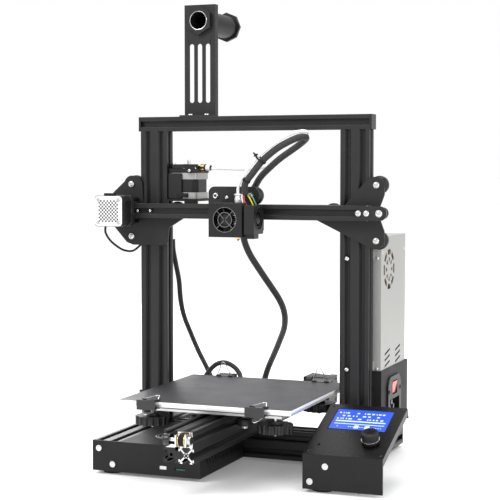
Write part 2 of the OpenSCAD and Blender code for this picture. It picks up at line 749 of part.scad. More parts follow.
// Folded shroud round the hot end, open at the back and bottom, with the fan opening
module head_shroud() color("#2b2b2b") {
    difference() {
        block([-32.5, -72, 310], [14.6, carriage_y0, 355]);
        block([-31, -70.5, 309], [13.1, carriage_y0 + 1, 353.5]);
        rod([head_fan[0], -73, head_fan[2]], "y", head_fan_r, 4);
        rod([hot_x, hot_y, 350], "z", 6.2, 8);
    }
    translate([head_fan[0], -72, head_fan[2]]) rotate([-90, 0, 0]) {
        difference() {
            cylinder(r = 9.6, h = 1.5);
            translate([0, 0, -1]) cylinder(r = 8, h = 4);
        }
        for (a = [5, 95, 185, 275]) rotate(a) translate([8.8, -0.9, 0]) cube([head_fan_r - 8.4, 1.8, 1.5]);
    }
}

// Heat sink, throat, heater block and nozzle, with the tube fitting on top
module hot_end() color("#c2a35a") {
    rod([hot_x, hot_y, 326], "z", 4, 27);
    for (i = [0:8]) rod([hot_x, hot_y, 327 + 2.6 * i], "z", 10.5, 1.4);
    rod([hot_x, hot_y, 318], "z", 2.6, 9);
    block([hot_x - 6, hot_y - 8, 309.5], [hot_x + 10, hot_y + 8, 319]);
    translate([hot_x, hot_y, 0]) rotate_extrude()
        polygon([[0, 304.6], [0.8, 304.6], [2.6, 307], [3.6, 307], [3.6, 310], [0, 310]]);
    difference() {
        union() {
            rod([hot_x, hot_y, 353], "z", 4.8, 8);
            rod([hot_x, hot_y, 361], "z", 3.6, 6);
        }
        rod([hot_x, hot_y, 355], "z", 2.05, 13);
    }
    block([hot_x - 3, hot_y + 2, 330.5], [hot_x + 3, carriage_y0, 347.5]);
}

// Part-cooling blower with its duct
module blower() color("#191919") {
    difference() {
        union() {
            block([17, -70, 314], [31, -36, 352]);
            block([14.6, -60, 330], [17, -40, 340]);
            block([15, -64, 308], [29, -48, 314]);
        }
        rod([24, -52, 334], "x", 14, 8);
    }
    rod([22, -52, 334], "x", 7, 8);
    block([26, -36, 318], [30, -31, 348]);
}

// Rotor of the heat-sink fan: hub and seven blades
module head_fan_rotor() color("#1a1a1a") translate(head_fan) rotate([-90, 0, 0]) {
    cylinder(r = 7, h = 7);
    for (i = [0:6]) rotate(i * 360 / 7) translate([6, -0.6, 1]) rotate([30, 0, 0]) cube([9.4, 1.2, 4]);
}

// V wheels that run on the beam
module x_wheels() color("#262626") for (w = x_wheels_at)
    translate([w[0], x_belt_y, w[1]]) rotate([-90, 0, 0]) v_wheel();

// ---------- bed ----------

// Carriage plate under the bed, with wheel axles and the belt clamp
module y_carriage_plate() color("#9a9a9a") {
    difference() {
        union() {
            block([-44, -142, plate_z0], [44, 46, plate_z1]);
            for (y = level_y) block([-97, y - 10, plate_z0], [97, y + 10, plate_z1]);
        }
        for (x = [-level_x, level_x], y = level_y) rod([x, y, plate_z0 - 1], "z", level_r + 0.3, 5);
        block([-16, -90, plate_z0 - 1], [16, -60, plate_z1 + 1]);
        block([-16, -30, plate_z0 - 1], [16, 0, plate_z1 + 1]);
    }
    for (s = [-1, 1], y = y_wheel_y) {
        rod([s * (cell + wheel_off), y, 67], "z", 2.45, plate_z0 - 67);
        rod([s * (cell + wheel_off), y, 66], "z", 4.2, 3);
        rod([s * (cell + wheel_off), y, 80.2], "z", 4.2, plate_z0 - 80.2);
        rod([s * (cell + wheel_off), y, plate_z1], "z", 4, 2.4);
    }
    block([y_belt_x - 2.2, -58, 83.2], [y_belt_x + 2.2, -38, plate_z0]);
}

// Heated aluminium plate
module heated_bed() color("#cfcfcf") difference() {
    block([-bed_w / 2, bed_front, bed_z0], [bed_w / 2, bed_back, bed_z1]);
    for (x = [-level_x, level_x], y = level_y) rod([x, y, bed_z0 - 1], "z", level_r + 0.1, 6);
}

// Coated glass that the print is made on
module build_surface() color("#3a3a3e")
    block([-bed_w / 2, bed_front, bed_z1], [bed_w / 2, bed_back, bed_z1 + glass_t]);

// Levelling springs with the screws through them
module bed_springs() color("#c8c8c8") for (x = [-level_x, level_x], y = level_y) {
    rod([x, y, 65], "z", level_r, bed_z1 - 65);
    difference() {
        rod([x, y, plate_z1], "z", 5, bed_z0 - plate_z1);
        rod([x, y, plate_z1 - 1], "z", 3.6, bed_z0 - plate_z1 + 2);
    }
}

// One spring clip on the bed's edge; s is -1 at the front and 1 at the back.
// Its folded section opens from the spine, 10 mm outside the edge, to two jaws on the plates.
module bed_clip(x, s) {
    top = bed_z1 + glass_t;
    translate([x - clip_w / 2, s == -1 ? bed_front : bed_back, 0])
        mirror([0, s == -1 ? 1 : 0, 0]) rotate([90, 0, 90]) linear_extrude(clip_w)
            polygon([[-6, top], [0.3, top], [8.8, top + 1.8], [8.8, bed_z0 - 1.8], [0.3, bed_z0],
                [-6, bed_z0], [-6, bed_z0 - 1.2], [0, bed_z0 - 1.2], [10, bed_z0 - 3.3],
                [10, top + 3.3], [0, top + 1.2], [-6, top + 1.2]]);
}

// Four spring clips
module bed_clips() color("#1c1c1c") {
    bed_clip(-75, -1);
    bed_clip(73, -1);
    bed_clip(-66, 1);
    bed_clip(78, 1);
}

// A scalloped levelling knob about a screw at x, y
module bed_knob(x, y) color("#141414") translate([x, y, 69.5]) difference() {
    union() {
        cylinder(r = 21, h = 11);
        for (i = [0:15]) rotate(i * 22.5) translate([20.4, 0, 0]) cylinder(r = 2.4, h = 11);
        cylinder(r = 9, h = 14);
    }
    translate([0, 0, -1]) cylinder(r = level_r + 0.08, h = 17);
}
module bed_knob_1() bed_knob(-level_x, level_y[0]);
module bed_knob_2() bed_knob(level_x, level_y[0]);
module bed_knob_3() bed_knob(-level_x, level_y[1]);
module bed_knob_4() bed_knob(level_x, level_y[1]);

// V wheels that run in the bed rail's upper side slots
module y_wheels() color("#262626") for (s = [-1, 1], y = y_wheel_y)
    translate([s * (cell + wheel_off), y, y_belt_z - 0.5]) v_wheel();

// ---------- cords ----------

// Filament guide tube from the feeder to the hot end
module bowden_tube() color("#f2f2f2") swept_tube(bowden_route, bowden_d, 8);

// Sleeved harness from the head to the electronics box
module head_harness() color("#141414") swept_tube(harness_route, harness_d, 8);

// Sleeved harness from the gantry to the electronics box
module motor_harness() color("#141414") swept_tube(motor_route, bundle_d, 8);

// Thin lead of the carriage motor
module x_motor_lead() color("#141414") swept_tube(motor_lead_route, motor_lead_d, 8);

// Cable from the bed to the electronics box
module bed_cable() color("#141414") swept_tube(bed_cable_route, bundle_d, 8);

place() base_rails();
place() y_rail();
place() uprights();
place() top_beam();
place() feet_and_caps();
place() electronics_box();
place() mainboard();
place() frame_motors();
place() motor_brackets();
place() limit_switches();
place() psu_case();
place() psu_core();
place() psu_cover();
place() power_inlet();
place() power_rocker();
place() display_housing();
place() display_module();
place() encoder_shaft();
place() control_knob();
place() spool_bracket();
place() spool_tube();
place() frame_screws();
place() y_belt();
place() y_motor_pulley();
place() y_idler_pulley();
place() lead_screw();
place() x_beam();
place() gantry_plates();
place() x_motor();
place() extruder_motor();
place() extruder_body();
place() extruder_lever();
place() extruder_spring();
place() extruder_gear();
place() x_belt();
place() gantry_screws();
place() x_motor_pulley();
place() x_idler_pulley();
place() z_wheels();
place() carriage_plate();
place() head_shroud();
place() hot_end();
place() blower();
place() head_fan_rotor();
place() x_wheels();
place() y_carriage_plate();
place() heated_bed();
place() build_surface();
place() bed_springs();
place() bed_clips();
place() bed_knob_1();
place() bed_knob_2();
place() bed_knob_3();
place() bed_knob_4();
place() y_wheels();
place() bowden_tube();
place() head_harness();
place() motor_harness();
place() x_motor_lead();
place() bed_cable();
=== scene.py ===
"""Looks of the open-frame filament printer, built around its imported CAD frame."""

import math
import random

import bmesh
import bpy
from mathutils import Matrix, Vector


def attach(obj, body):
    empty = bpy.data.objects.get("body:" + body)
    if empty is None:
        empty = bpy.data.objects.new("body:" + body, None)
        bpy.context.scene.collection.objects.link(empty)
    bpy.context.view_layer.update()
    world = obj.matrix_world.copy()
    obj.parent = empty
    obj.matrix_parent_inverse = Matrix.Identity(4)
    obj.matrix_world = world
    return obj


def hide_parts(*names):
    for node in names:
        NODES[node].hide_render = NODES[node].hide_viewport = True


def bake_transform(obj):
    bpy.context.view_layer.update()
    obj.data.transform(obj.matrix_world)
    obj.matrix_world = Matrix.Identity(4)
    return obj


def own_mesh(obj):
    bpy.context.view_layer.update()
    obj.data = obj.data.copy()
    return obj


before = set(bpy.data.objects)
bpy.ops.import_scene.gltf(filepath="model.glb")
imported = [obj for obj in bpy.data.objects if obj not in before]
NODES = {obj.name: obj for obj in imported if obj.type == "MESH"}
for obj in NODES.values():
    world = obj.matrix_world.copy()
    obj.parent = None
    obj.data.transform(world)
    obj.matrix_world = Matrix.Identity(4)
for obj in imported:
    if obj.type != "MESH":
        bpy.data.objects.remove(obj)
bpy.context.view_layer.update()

# The machine is laid out in millimetres with X = 0 midway between the uprights,
# Y = 0 on their front faces and Z = 0 on the table, as in the CAD source.
SHIFT_MM = Vector((-7, 31, 0))
MM = 0.001


def at(x, y, z):
    """A point of the machine's layout, in metres in the row frame."""
    return (Vector((x, y, z)) + SHIFT_MM) * MM


# ---------- materials ----------

def node_in(tree, kind, **values):
    """Adds a shader node; values are its settings or inputs by name."""
    n = tree.nodes.new(kind)
    for key, value in values.items():
        if hasattr(n, key):
            setattr(n, key, value)
        else:
            n.inputs[key.replace("_", " ")].default_value = value
    return n


def finish(name, colour, rough=0.5, metal=0.0, grain=900, bump=0.15, vary=0.12, spread=0.08,
           stretch=(1, 1, 1), coat=0.0, specular=0.5, emission=0.0, transmission=0.0, alpha=1.0):
    """A surface whose colour, roughness and relief all carry fine procedural grain."""
    m = bpy.data.materials.new(name)
    m.use_nodes = True
    t = m.node_tree
    shader = t.nodes["Principled BSDF"]
    shader.inputs["Metallic"].default_value = metal
    shader.inputs["Specular IOR Level"].default_value = specular
    shader.inputs["Coat Weight"].default_value = coat
    shader.inputs["Transmission Weight"].default_value = transmission
    shader.inputs["Alpha"].default_value = alpha
    place = node_in(t, "ShaderNodeTexCoord")
    scale = node_in(t, "ShaderNodeMapping")
    scale.inputs["Scale"].default_value = stretch
    t.links.new(place.outputs["Object"], scale.inputs["Vector"])
    fine = node_in(t, "ShaderNodeTexNoise", Scale=grain, Detail=3.0, Roughness=0.6)
    broad = node_in(t, "ShaderNodeTexNoise", Scale=grain / 45, Detail=4.0)
    for n in (fine, broad):
        t.links.new(scale.outputs["Vector"], n.inputs["Vector"])
    ramp = node_in(t, "ShaderNodeMapRange")
    ramp.inputs["To Min"].default_value = max(rough - spread, 0.02)
    ramp.inputs["To Max"].default_value = min(rough + spread, 1)
    t.links.new(broad.outputs["Fac"], ramp.inputs["Value"])
    t.links.new(ramp.outputs["Result"], shader.inputs["Roughness"])
    tint = node_in(t, "ShaderNodeValToRGB")
    dark = tint.color_ramp.elements[0]
    light = tint.color_ramp.elements[1]
    dark.position, light.position = 0.3, 0.7
    dark.color = [c * (1 - vary) for c in colour] + [1]
    light.color = [min(c * (1 + vary), 1) for c in colour] + [1]
    t.links.new(broad.outputs["Fac"], tint.inputs["Fac"])
    t.links.new(tint.outputs["Color"], shader.inputs["Base Color"])
    relief = node_in(t, "ShaderNodeBump", Strength=bump, Distance=0.0004)
    t.links.new(fine.outputs["Fac"], relief.inputs["Height"])
    t.links.new(relief.outputs["Normal"], shader.inputs["Normal"])
    if emission:
        t.links.new(tint.outputs["Color"], shader.inputs["Emission Color"])
        shader.inputs["Emission Strength"].default_value = emission
    return m


def braid(name, colour, across, along):
    """Braided sleeving: crossing diagonal strands laid out on the tube's own UV map, with painted shade
    in the hollows between strands and painted highlight on their tops.
    """
    m = finish(name, colour, rough=0.55, grain=1500, bump=0.2, vary=0.2)
    t = m.node_tree
    shader = t.nodes["Principled BSDF"]
    uv = node_in(t, "ShaderNodeUVMap")
    uv.uv_map = "along"
    heights = []
    for lean in (1, -1):
        turn = node_in(t, "ShaderNodeMapping")
        turn.inputs["Scale"].default_value = (along, lean * across, 1)
        t.links.new(uv.outputs["UV"], turn.inputs["Vector"])
        wave = node_in(t, "ShaderNodeTexWave", Scale=1.0, Distortion=0.0)
        wave.bands_direction = "DIAGONAL"
        t.links.new(turn.outputs["Vector"], wave.inputs["Vector"])
        heights.append(wave.outputs["Fac"])
    top = node_in(t, "ShaderNodeMath", operation="MAXIMUM")
    t.links.new(heights[0], top.inputs[0])
    t.links.new(heights[1], top.inputs[1])
    relief = node_in(t, "ShaderNodeBump", Strength=0.7, Distance=0.0006)
    t.links.new(top.outputs["Value"], relief.inputs["Height"])
    t.links.new(relief.outputs["Normal"], shader.inputs["Normal"])
    # Painted shade and highlight: the colour follows the weave's height, dark in its hollows and light on
    # its raised strands.
    ramp = node_in(t, "ShaderNodeValToRGB")
    ramp.color_ramp.elements[0].color = [c * 0.35 for c in colour] + [1]
    ramp.color_ramp.elements[1].color = [min(c * 2.2, 1) for c in colour] + [1]
    t.links.new(top.outputs["Value"], ramp.inputs["Fac"])
    t.links.new(ramp.outputs["Color"], shader.inputs["Base Color"])
    return m


def speckle(name, base, flake, cover):
    """Dark coated surface with small pale flakes."""
    m = finish(name, base, rough=0.5, grain=1400, bump=0.25, vary=0.15, specular=0.4)
    t = m.node_tree
    shader = t.nodes["Principled BSDF"]
    place = node_in(t, "ShaderNodeTexCoord")
    cells = node_in(t, "ShaderNodeTexVoronoi", Scale=620.0)
    t.links.new(place.outputs["Object"], cells.inputs["Vector"])
    ramp = node_in(t, "ShaderNodeValToRGB")
    ramp.color_ramp.elements[0].color = list(flake) + [1]
    ramp.color_ramp.elements[0].position = cover
    ramp.color_ramp.elements[1].color = list(base) + [1]
    ramp.color_ramp.elements[1].position = cover + 0.12
    t.links.new(cells.outputs["Distance"], ramp.inputs["Fac"])
    t.links.new(ramp.outputs["Color"], shader.inputs["Base Color"])
    return m


MATS = {
    "anodised": finish("anodised_black", (0.012, 0.012, 0.013), 0.42, 0.0, 1200, 0.12, 0.15, 0.06,
                       specular=0.32),
    "cut_end": finish("cut_aluminium", (0.74, 0.74, 0.73), 0.36, 0.8, 1400, 0.25, 0.06),
    "sheet": finish("powder_coat_black", (0.011, 0.011, 0.0115), 0.55, 0.0, 1600, 0.35, 0.15,
                    specular=0.22),
    "plate": finish("sandblast_black", (0.013, 0.013, 0.014), 0.5, 0.0, 1500, 0.3, 0.15,
                    specular=0.28),
    "gloss_sheet": finish("gloss_black_panel", (0.004, 0.004, 0.0045), 0.28, 0.0, 900, 0.04, 0.2,
                          0.05, specular=0.25),
    "plastic": finish("moulded_black", (0.006, 0.006, 0.0065), 0.4, 0.0, 1300, 0.18, 0.2,
                      specular=0.35),
    "soft_plastic": finish("soft_black", (0.009, 0.009, 0.0095), 0.6, 0.0, 1000, 0.25, 0.2,
                           specular=0.25),
    "rubber": finish("rubber_black", (0.01, 0.01, 0.01), 0.75, 0.0, 800, 0.3, 0.2, specular=0.2),
    "lamination": finish("motor_stack", (0.008, 0.008, 0.0085), 0.45, 0.1, 2500, 0.5, 0.2,
                         stretch=(0.05, 0.05, 1), specular=0.35),
    "dark_cast": finish("dark_cast", (0.02, 0.02, 0.021), 0.42, 0.1, 1200, 0.3, 0.12,
                        specular=0.35),
    # Mid grey that paints the highlight along the head fan grille's edges.
    "highlight_grey": finish("painted_edge_highlight", (0.16, 0.16, 0.16), 0.4, 0.3, 900, 0.1, 0.1),
    "cast": finish("cast_aluminium", (0.36, 0.36, 0.355), 0.4, 0.8, 1200, 0.3, 0.08),
    "steel": finish("bright_steel", (0.6, 0.6, 0.59), 0.24, 1.0, 1500, 0.08, 0.06),
    "brass": finish("brass", (0.78, 0.56, 0.24), 0.26, 1.0, 1500, 0.1, 0.08),
    "psu": finish("pale_aluminium", (0.37, 0.368, 0.355), 0.42, 0.45, 900, 0.12, 0.05, 0.08,
                  stretch=(1, 1, 0.06)),
    "bed_plate": finish("bed_aluminium", (0.66, 0.66, 0.66), 0.34, 0.6, 900, 0.12, 0.05),
    "glass_edge": finish("glass_edge", (0.8, 0.81, 0.82), 0.3, 0.0, 700, 0.05, 0.04, specular=0.4),
    "film": speckle("coated_film", (0.012, 0.012, 0.016), (0.12, 0.12, 0.14), 0.1),
    "board": finish("board_green", (0.03, 0.16, 0.08), 0.4, 0.0, 600, 0.1, 0.3),
    "power_board": finish("power_board", (0.32, 0.2, 0.07), 0.5, 0.0, 500, 0.2, 0.35),
    "red": finish("rocker_red", (0.62, 0.025, 0.015), 0.28, 0.0, 900, 0.06, 0.1, coat=0.3),
    "lcd": finish("lcd_blue", (0.02, 0.07, 0.6), 0.3, 0.0, 300, 0.02, 0.15, emission=0.45,
                  specular=0.2),
    "lcd_mark": finish("lcd_white", (0.5, 0.6, 0.85), 0.3, 0.0, 300, 0.02, 0.05, emission=0.3,
                       specular=0.2),
    "clip": finish("clip_black", (0.005, 0.005, 0.005), 0.3, 0.0, 900, 0.06, 0.2, coat=0.15),
    "tube": finish("milky_tube", (0.8, 0.81, 0.8), 0.3, 0.0, 600, 0.04, 0.03, transmission=0.15),
    "white": finish("label_white", (0.74, 0.74, 0.74), 0.5, 0.0, 700, 0.05, 0.03),
    "grey_mark": finish("label_grey", (0.05, 0.05, 0.052), 0.55, 0.0, 700, 0.05, 0.05),
    "wire_red": finish("wire_red", (0.55, 0.03, 0.02), 0.4, 0.0, 700, 0.05, 0.08),
    "wire_yellow": finish("wire_yellow", (0.62, 0.5, 0.05), 0.4, 0.0, 700, 0.05, 0.08),
    "wire_green": finish("wire_green", (0.08, 0.28, 0.1), 0.4, 0.0, 700, 0.05, 0.08),
    "wheel": finish("wheel_black", (0.009, 0.009, 0.0095), 0.36, 0.0, 1000, 0.1, 0.15,
                    specular=0.35),
    "braid": braid("braided_sleeve", (0.009, 0.009, 0.009), 5.0, 300.0),
}

# ---------- building meshes ----------

SIDE_SEED = Vector((0.31, 0.42, 0.85))  # a direction that no wire runs along


def facing(axis):
    """The rotation that turns Z to an axis."""
    return Vector((0, 0, 1)).rotation_difference(Vector(axis)).to_matrix()


class Shape:
    """Collects primitives, in layout millimetres, into one mesh."""

    def __init__(self):
        self.bm = bmesh.new()

    def _place(self, verts, matrix):
        bmesh.ops.transform(self.bm, matrix=matrix, verts=verts)

    def box(self, lo, hi, turn=None):
        size = Vector(hi) - Vector(lo)
        middle = (Vector(hi) + Vector(lo)) / 2
        made = bmesh.ops.create_cube(self.bm, size=1)["verts"]
        self._place(made, Matrix.Translation(middle) @ (turn or Matrix.Identity(4))
                    @ Matrix.Diagonal((*size, 1)))
        return self

    def lathe(self, p, axis, profile, sides=40, closed=False):
        """Turns (radius, height) points about an axis through p; radius 0 closes an end."""
        m = Matrix.Translation(Vector(p)) @ facing(axis).to_4x4()
        rings = []
        for r, h in profile:
            if r == 0:
                rings.append([self.bm.verts.new(m @ Vector((0, 0, h)))])
            else:
                rings.append([self.bm.verts.new(m @ Vector((r * math.cos(2 * math.pi * k / sides),
                              r * math.sin(2 * math.pi * k / sides), h))) for k in range(sides)])
        pairs = list(zip(rings, rings[1:])) + ([(rings[-1], rings[0])] if closed else [])
        for a, b in pairs:
            for k in range(sides):
                j = (k + 1) % sides
                loop = [a[k % len(a)], a[j % len(a)], b[j % len(b)], b[k % len(b)]]
                loop = [v for i, v in enumerate(loop) if v not in loop[:i]]
                if len(loop) > 2:
                    self.bm.faces.new(loop)
        return self

    def rod(self, p, axis, r, length, sides=32, edge=0.25):
        e = min(edge, r / 3, length / 3)
        return self.lathe(p, axis, [(0, 0), (r - e, 0), (r, e), (r, length - e),
                                    (r - e, length), (0, length)], sides)

    def prism(self, p, axis, outline, length):
        """A flat (u, v) outline carried along an axis."""
        m = Matrix.Translation(Vector(p)) @ facing(axis).to_4x4()
        low = [self.bm.verts.new(m @ Vector((u, v, 0))) for u, v in outline]
        high = [self.bm.verts.new(m @ Vector((u, v, length))) for u, v in outline]
        self.bm.faces.new(low[::-1])
        self.bm.faces.new(high)
        for i in range(len(low)):
            j = (i + 1) % len(low)
            self.bm.faces.new([low[i], low[j], high[j], high[i]])
        return self

    def sweep(self, points, r, sides=8, closed=False):
        """A round wire along points."""
        pts = [Vector(p) for p in points]
        n = len(pts)
        side = SIDE_SEED.copy()
        rings = []
        for i, p in enumerate(pts):
            if closed:
                d = (pts[(i + 1) % n] - pts[i - 1]).normalized()
            else:
                d = (pts[min(i + 1, n - 1)] - pts[max(i - 1, 0)]).normalized()
            side = (side - d * side.dot(d)).normalized()
            other = d.cross(side)
            rings.append([self.bm.verts.new(p + r * (math.cos(2 * math.pi * k / sides) * side
                          + math.sin(2 * math.pi * k / sides) * other)) for k in range(sides)])
        pairs = list(zip(rings, rings[1:])) + ([(rings[-1], rings[0])] if closed else [])
        for a, b in pairs:
            for k in range(sides):
                j = (k + 1) % sides
                self.bm.faces.new([a[k], a[j], b[j], b[k]])
        if not closed:
            self.bm.faces.new(rings[0][::-1])
            self.bm.faces.new(rings[-1])
        return self

    def make(self, name, material, body, slot, bevel=0.0, sharp=35, stands_for=()):
        bmesh.ops.recalc_face_normals(self.bm, faces=self.bm.faces)
        data = bpy.data.meshes.new(name)
        self.bm.to_mesh(data)
        self.bm.free()
        data.transform(Matrix.Diagonal((MM, MM, MM, 1)) @ Matrix.Translation(SHIFT_MM))
        o = bpy.data.objects.new(name, data)
        bpy.context.scene.collection.objects.link(o)
        data.materials.append(MATS[material])
        smooth(o, sharp)
        if bevel:
            soften(o, bevel)
        if body:
            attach(o, body)
        if stands_for:
            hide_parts(*stands_for)
        return o


def smooth(o, sharp):
    """Smooth shading that keeps edges over the given angle sharp."""
    data = o.data
    for p in data.polygons:
        p.use_smooth = True
    bm = bmesh.new()
    bm.from_mesh(data)
    for e in bm.edges:
        e.smooth = e.is_manifold and e.calc_face_angle(0) < math.radians(sharp)
    bm.to_mesh(data)
    bm.free()


def soften(o, width):
    """A narrow bevel along sharp edges."""
    b = o.modifiers.new("edge", "BEVEL")
    b.width = width * MM
    b.segments = 2
    b.limit_method = "ANGLE"
    b.angle_limit = math.radians(40)


def spline(points, steps=6):
    """Smooth points through a route."""
    p = [Vector(q) for q in points]
    out = []
    for i in range(len(p) - 1):
        a, b, c, d = p[max(i - 1, 0)], p[i], p[i + 1], p[min(i + 2, len(p) - 1)]
        for k in range(steps):
            t = k / steps
            out.append(0.5 * (2 * b + (c - a) * t + (2 * a - 5 * b + 4 * c - d) * t * t
                              + (3 * b - a - 3 * c + d) * t ** 3))
    return out + [p[-1]]


def circle(p, axis, r, n=24):
    """Points of a circle about p."""
    rot = facing(axis)
    return [Vector(p) + rot @ Vector((r * math.cos(2 * math.pi * k / n),
            r * math.sin(2 * math.pi * k / n), 0)) for k in range(n)]


def rounded(w, h, r, n=6):
    """Outline of a rounded rectangle about the middle."""
    out = []
    for cx, cy, a in ((w / 2 - r, h / 2 - r, 0), (r - w / 2, h / 2 - r, 90),
                      (r - w / 2, r - h / 2, 180), (w / 2 - r, r - h / 2, 270)):
        out += [(cx + r * math.cos(math.radians(a + 90 * k / n)),
                 cy + r * math.sin(math.radians(a + 90 * k / n))) for k in range(n + 1)]
    return out


# ---------- camera, light and floor ----------

AZIMUTH, ELEVATION = 21.53, 3.41
CAMERA_AT = at(689.6, -1753.1, 401.8)
camera = bpy.data.objects.new("camera", bpy.data.cameras.new("camera"))
camera.data.lens = 100
camera.data.sensor_width = 36
camera.location = CAMERA_AT
camera.rotation_euler = (math.radians(90 - ELEVATION), 0, math.radians(AZIMUTH))
bpy.context.scene.collection.objects.link(camera)
bpy.context.scene.camera = camera


def area_light(name, place, target, size, power):
    data = bpy.data.lights.new(name, "AREA")
    data.shape = "RECTANGLE"
    data.size, data.size_y = size
    data.energy = power
    o = bpy.data.objects.new(name, data)
    o.location = place
    o.rotation_euler = (Vector(target) - Vector(place)).to_track_quat("-Z", "Y").to_euler()
    bpy.context.scene.collection.objects.link(o)


MIDDLE = (0, 0, 0.3)
area_light("key", (-1.1, -1.7, 1.9), MIDDLE, (1.0, 1.0), 34)
area_light("fill", (1.9, -1.3, 0.9), MIDDLE, (0.8, 1.4), 16)
area_light("top", (0.1, 0.4, 2.2), MIDDLE, (1.4, 1.4), 30)
area_light("rim", (-1.3, 1.5, 0.9), MIDDLE, (0.8, 1.6), 18)
world = bpy.data.worlds.new("studio")
world.use_nodes = True
world.node_tree.nodes["Background"].inputs["Color"].default_value = (1, 1, 1, 1)
world.node_tree.nodes["Background"].inputs["Strength"].default_value = 1.0
bpy.context.scene.world = world
bpy.context.scene.view_settings.view_transform = "Standard"

floor_data = bpy.data.meshes.new("floor")
floor_data.from_pydata([(-20, -20, 0), (20, -20, 0), (20, 40, 0), (-20, 40, 0)], [], [(0, 1, 2, 3)])
floor = bpy.data.objects.new("floor", floor_data)
floor_data.materials.append(finish("floor_pale", (0.88, 0.88, 0.88), 0.8, 0, 60, 0.02, 0.01,
                                   specular=0.1, emission=0.16))
bpy.context.scene.collection.objects.link(floor)

# ---------- cords ----------

# Routes, from exit to far end, in layout millimetres; the CAD source has the same points.
BOWDEN = [(-68, 20.6, 400), (-50, 20.6, 400), (-25, 18, 399), (5, 8, 400), (30, -2, 404.5),
          (47, -5, 415), (62, -5, 425), (79, -8, 439), (88, -21, 447.5), (81, -31, 449),
          (66, -41.5, 443), (50, -49, 432), (31, -52, 416.5), (15, -51.5, 399), (4, -50, 384),
          (0, -48, 374), (0, -48, 366)]
HARNESS = [(9, -46, 366), (10, -48, 380), (21, -49, 394), (36, -50, 411), (54, -47, 426),
           (70, -40, 436), (82, -31, 441.5), (86, -22, 440), (76, -15, 433), (62, -13, 424),
           (47, -13, 414), (33, -12, 403), (16, -6, 389), (3, 5, 375), (-9, 12, 358),
           (-16, 13, 342), (-19, 14, 328), (-18, 16, 306), (-12, 22, 284), (-1, 34, 260),
           (9, 48, 238), (15, 68, 217), (14, 92, 196), (4, 120, 172), (-16, 152, 145),
           (-35, 178, 120), (-48, 190, 99), (-56, 192, 76), (-59, 180, 54), (-58, 152, 38),
           (-56, 120, 34), (-54, 92, 38), (-50, 62, 47), (-47, 40, 51), (-46, 18, 51),
           (-46, 0, 50), (-46, -10, 46), (-46, -13, 38)]
MOTOR_ROUTE = [(-134, 36, 300), (-134, 38, 284), (-131, 41, 262), (-128, 44, 240),
               (-127, 47, 214), (-125, 54, 190), (-124, 76, 162), (-124, 104, 132),
               (-124, 132, 106), (-123, 150, 84), (-122, 150, 60), (-118, 134, 42),
               (-110, 108, 34), (-98, 78, 38), (-86, 54, 47), (-79, 34, 51), (-76, 14, 50),
               (-76, -2, 49), (-76, -10, 45), (-76, -13, 38)]
MOTOR_LEAD = [(-196, -50, 320), (-197, -48, 312), (-195, -40, 302), (-191, -28, 293),
              (-187, -12, 286), (-183, 6, 284), (-179, 20, 290), (-172, 29, 301), (-160, 31, 307),
              (-148, 32, 305), (-139.5, 35.5, 299)]
BED_CABLE = [(-46, 52, 92.9), (-46, 66, 92.6), (-47, 78, 96), (-52, 85, 106), (-62, 88, 115),
             (-76, 89, 120), (-89, 88, 117), (-100, 85, 106), (-108, 79, 90), (-110, 68, 70),
             (-106, 54, 56), (-99, 38, 50), (-92, 20, 49), (-89, 0, 48.5), (-88, -10, 45),
             (-88, -13, 38)]
GANTRY_SPLIT = 14  # the harness point that is tied to the gantry, where its two pieces meet


def cord_mesh(name, route, diameter, material, sides=16):
    """A smooth tube along a route, with its own UV map; returns the piece and its line."""
    line = [at(*p) for p in spline(route, 7)]
    side = SIDE_SEED.copy()
    verts = []
    run = [0.0]
    for i, p in enumerate(line):
        d = (line[min(i + 1, len(line) - 1)] - line[max(i - 1, 0)]).normalized()
        side = (side - d * side.dot(d)).normalized()
        other = d.cross(side)
        for k in range(sides):
            a = 2 * math.pi * k / sides
            verts.append(p + diameter / 2 * (math.cos(a) * side + math.sin(a) * other))
        if i:
            run.append(run[-1] + (p - line[i - 1]).length)
    faces = [(i * sides + k, i * sides + (k + 1) % sides, (i + 1) * sides + (k + 1) % sides,
              (i + 1) * sides + k) for i in range(len(line) - 1) for k in range(sides)]
    walls = len(faces)
    faces += [tuple(range(sides))[::-1], tuple((len(line) - 1) * sides + k for k in range(sides))]
    data = bpy.data.meshes.new(name)
    data.from_pydata(verts, [], faces)
    uv = data.uv_layers.new(name="along")
    for f in data.polygons:
        f.use_smooth = f.index < walls
        k = f.index % sides
        for corner, loop in enumerate(f.loop_indices):
            i = data.loops[loop].vertex_index // sides
            around = (k + (1 if corner in (1, 2) else 0)) / sides if f.index < walls else 0
            uv.data[loop].uv = (run[i], around)
    data.materials.append(MATS[material])
    o = bpy.data.objects.new(name, data)
    bpy.context.scene.collection.objects.link(o)
    return o, line, run[-1]


def cord(name, route, diameter, material, stands_for):
    """A cord whose two ends both go to the printer."""
    o, line, length = cord_mesh(name, route, diameter, material)
    if stands_for:
        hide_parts(stands_for)
    return o


def tie(p, axis, r, name, body, tail=True):
    """A cable tie with its head and cut tail."""
    s = Shape().lathe(p, axis, [(r, -1.3), (r + 0.9, -1.3), (r + 0.9, 1.3), (r, 1.3)], 24, True)
    out = Vector(axis).cross(Vector((0, 1, 0))).normalized()
    head = Vector(p) + out * (r + 1.8)
    s.box(head - Vector((2.2, 2, 2)), head + Vector((2.2, 2, 2)))
    if tail:
        end = head + out * 5
        s.sweep([head, end], 1.1, 6)
    return s.make(name, "soft_plastic", body, "black_plastic", 0.2)


